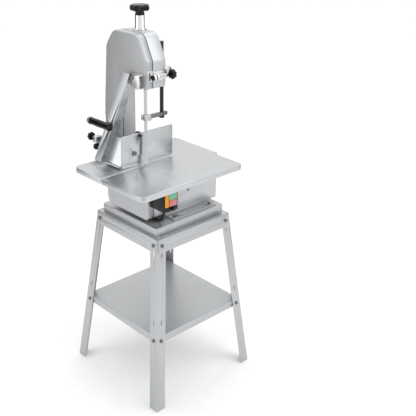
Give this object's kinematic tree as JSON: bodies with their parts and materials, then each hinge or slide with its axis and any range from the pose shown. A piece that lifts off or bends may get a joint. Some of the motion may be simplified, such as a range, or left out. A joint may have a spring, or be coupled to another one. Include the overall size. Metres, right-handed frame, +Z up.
{
  "type": "bone saw",
  "caption": "Floor-standing meat and bone band saw on an open sheet-metal stand, with a fixed table, portion fence, swinging pusher, blade guide and push-button switch.",
  "frame": {"origin": "middle of the footprint on the floor", "axes": "+Z up; +X to the operator's right; +Y away from the operator, the way the meat is fed"},
  "size_m": [0.573, 0.626, 1.5404],
  "materials": {
    "stand_sheet": "satin",
    "bolt_steel": "satin",
    "satin_grey_paint": "satin",
    "light_shell": "satin",
    "table_steel": "satin",
    "bright_block": "satin",
    "chrome": "polished",
    "black_plastic": "gloss",
    "black_oxide": "satin",
    "blade_steel": "satin",
    "cast_wheel": "matte",
    "motor_paint": "satin",
    "motor_core": "matte",
    "capacitor_shell": "matte",
    "rubber": "matte",
    "orange_plastic": "gloss",
    "green_plastic": "gloss",
    "red_plastic": "gloss"
  },
  "bodies": {
    "frame": {"stand_legs": "stand_sheet", "stand_rails": "stand_sheet", "stand_bolts": "bolt_steel", "stand_shelf": "stand_sheet", "stand_tray": "stand_sheet", "body_casing": "light_shell", "column_panel": "satin_grey_paint", "door_hinges": "table_steel", "motor_housing": "light_shell", "base_floor": "light_shell", "mounting_feet": "light_shell", "mounting_bolts": "bolt_steel", "blade": "blade_steel", "bearing_housing": "cast_wheel", "motor_case": "motor_paint", "motor_capacitor": "capacitor_shell", "carriage_guides": "bolt_steel", "tension_sleeve": "chrome", "post_clamp": "bright_block", "latch_bracket": "bright_block", "fence_bracket": "table_steel", "table": "table_steel", "table_frame": "table_steel", "switch_box": "black_plastic", "switch_frame": "orange_plastic", "switch_cable": "rubber", "cable_glands": "rubber"},
    "upper_door": {"upper_door": "satin_grey_paint", "upper_door_seal": "rubber", "upper_door_hinge_leaves": "table_steel", "door_latch_plate": "bright_block", "pusher_bracket": "bright_block"},
    "lower_door": {"lower_door": "satin_grey_paint", "lower_door_seal": "rubber", "lower_door_hinge_leaves": "table_steel"},
    "lower_wheel": {"lower_wheel": "cast_wheel", "drive_shaft": "bolt_steel", "motor_rotor": "motor_core", "cooling_fan": "black_plastic"},
    "carriage": {"axle_carriage": "cast_wheel", "upper_axle": "bolt_steel"},
    "upper_wheel": {"upper_wheel": "cast_wheel", "upper_bearings": "bolt_steel"},
    "tension_knob": {"tension_knob": "black_plastic", "tension_screw": "bolt_steel"},
    "guide": {"guide_post": "black_oxide", "guide_arm": "bolt_steel", "guide_block": "table_steel"},
    "post_clamp_knob": {"post_clamp_knob": "black_plastic"},
    "latch": {"latch_knob": "black_plastic"},
    "fence": {"fence_plate": "table_steel", "fence_rod": "bolt_steel", "fence_rod_knob": "black_plastic", "fence_grip": "black_plastic"},
    "fence_clamp": {"fence_clamp_knob": "black_plastic"},
    "pusher": {"pusher_arm": "table_steel", "pusher_grip": "black_plastic", "pusher_bolts": "bolt_steel"},
    "green_button": {"green_button": "green_plastic"},
    "red_button": {"red_button": "red_plastic"}
  },
  "joints": [
    {"name": "upper_door_swing", "type": "hinge", "parent": "frame", "child": "upper_door", "pos_m": [-0.1665, -0.0955, 1.2], "axis": [0, 0, -1], "range_deg": [0, 100]},
    {"name": "lower_door_swing", "type": "hinge", "parent": "frame", "child": "lower_door", "pos_m": [-0.1665, -0.0955, 0.85], "axis": [0, 0, -1], "range_deg": [0, 100]},
    {"name": "lower_wheel_spin", "type": "hinge", "parent": "frame", "child": "lower_wheel", "pos_m": [-0.0265, -0.104, 0.857], "axis": [0, 1, 0], "continuous": true},
    {"name": "tension_knob_turn", "type": "hinge", "parent": "frame", "child": "tension_knob", "pos_m": [-0.0265, -0.056, 1.52], "axis": [0, 0, 1], "range_deg": [-1080, 0]},
    {"name": "tension_slide", "type": "slide", "parent": "frame", "child": "carriage", "axis": [0, 0, 1], "range_m": [-0.006, 0]},
    {"name": "upper_wheel_spin", "type": "hinge", "parent": "carriage", "child": "upper_wheel", "pos_m": [-0.0265, -0.104, 1.361], "axis": [0, 1, 0], "continuous": true},
    {"name": "guide_post_slide", "type": "slide", "parent": "frame", "child": "guide", "axis": [0, 0, 1], "range_m": [-0.09, 0.07]},
    {"name": "post_clamp_turn", "type": "hinge", "parent": "frame", "child": "post_clamp_knob", "pos_m": [0.0515, 0.008, 1.31], "axis": [0, 1, 0], "range_deg": [-90, 90]},
    {"name": "latch_turn", "type": "hinge", "parent": "frame", "child": "latch", "pos_m": [0.1025, -0.032, 1.308], "axis": [0, 1, 0], "range_deg": [-90, 90]},
    {"name": "pusher_swing", "type": "hinge", "parent": "upper_door", "child": "pusher", "pos_m": [-0.0015, -0.142, 1.3], "axis": [1, 0, 0], "range_deg": [-60, 5]},
    {"name": "fence_slide", "type": "slide", "parent": "frame", "child": "fence", "axis": [1, 0, 0], "range_m": [-0.008, 0.012]},
    {"name": "fence_clamp_turn", "type": "hinge", "parent": "frame", "child": "fence_clamp", "pos_m": [-0.1925, -0.142, 1], "axis": [0, 0, 1], "range_deg": [-90, 90]},
    {"name": "green_button_press", "type": "slide", "parent": "frame", "child": "green_button", "axis": [-1, 0, 0], "range_m": [0, 0.004], "stiffness_N_per_m": 300},
    {"name": "red_button_press", "type": "slide", "parent": "frame", "child": "red_button", "axis": [-1, 0, 0], "range_m": [0, 0.004], "stiffness_N_per_m": 300}
  ],
  "couplings": [
    {"joint": "tension_knob_turn", "follows": "tension_slide", "rad_per_m": 3141.6},
    {"joint": "upper_wheel_spin", "follows": "lower_wheel_spin", "ratio": 1}
  ]
}
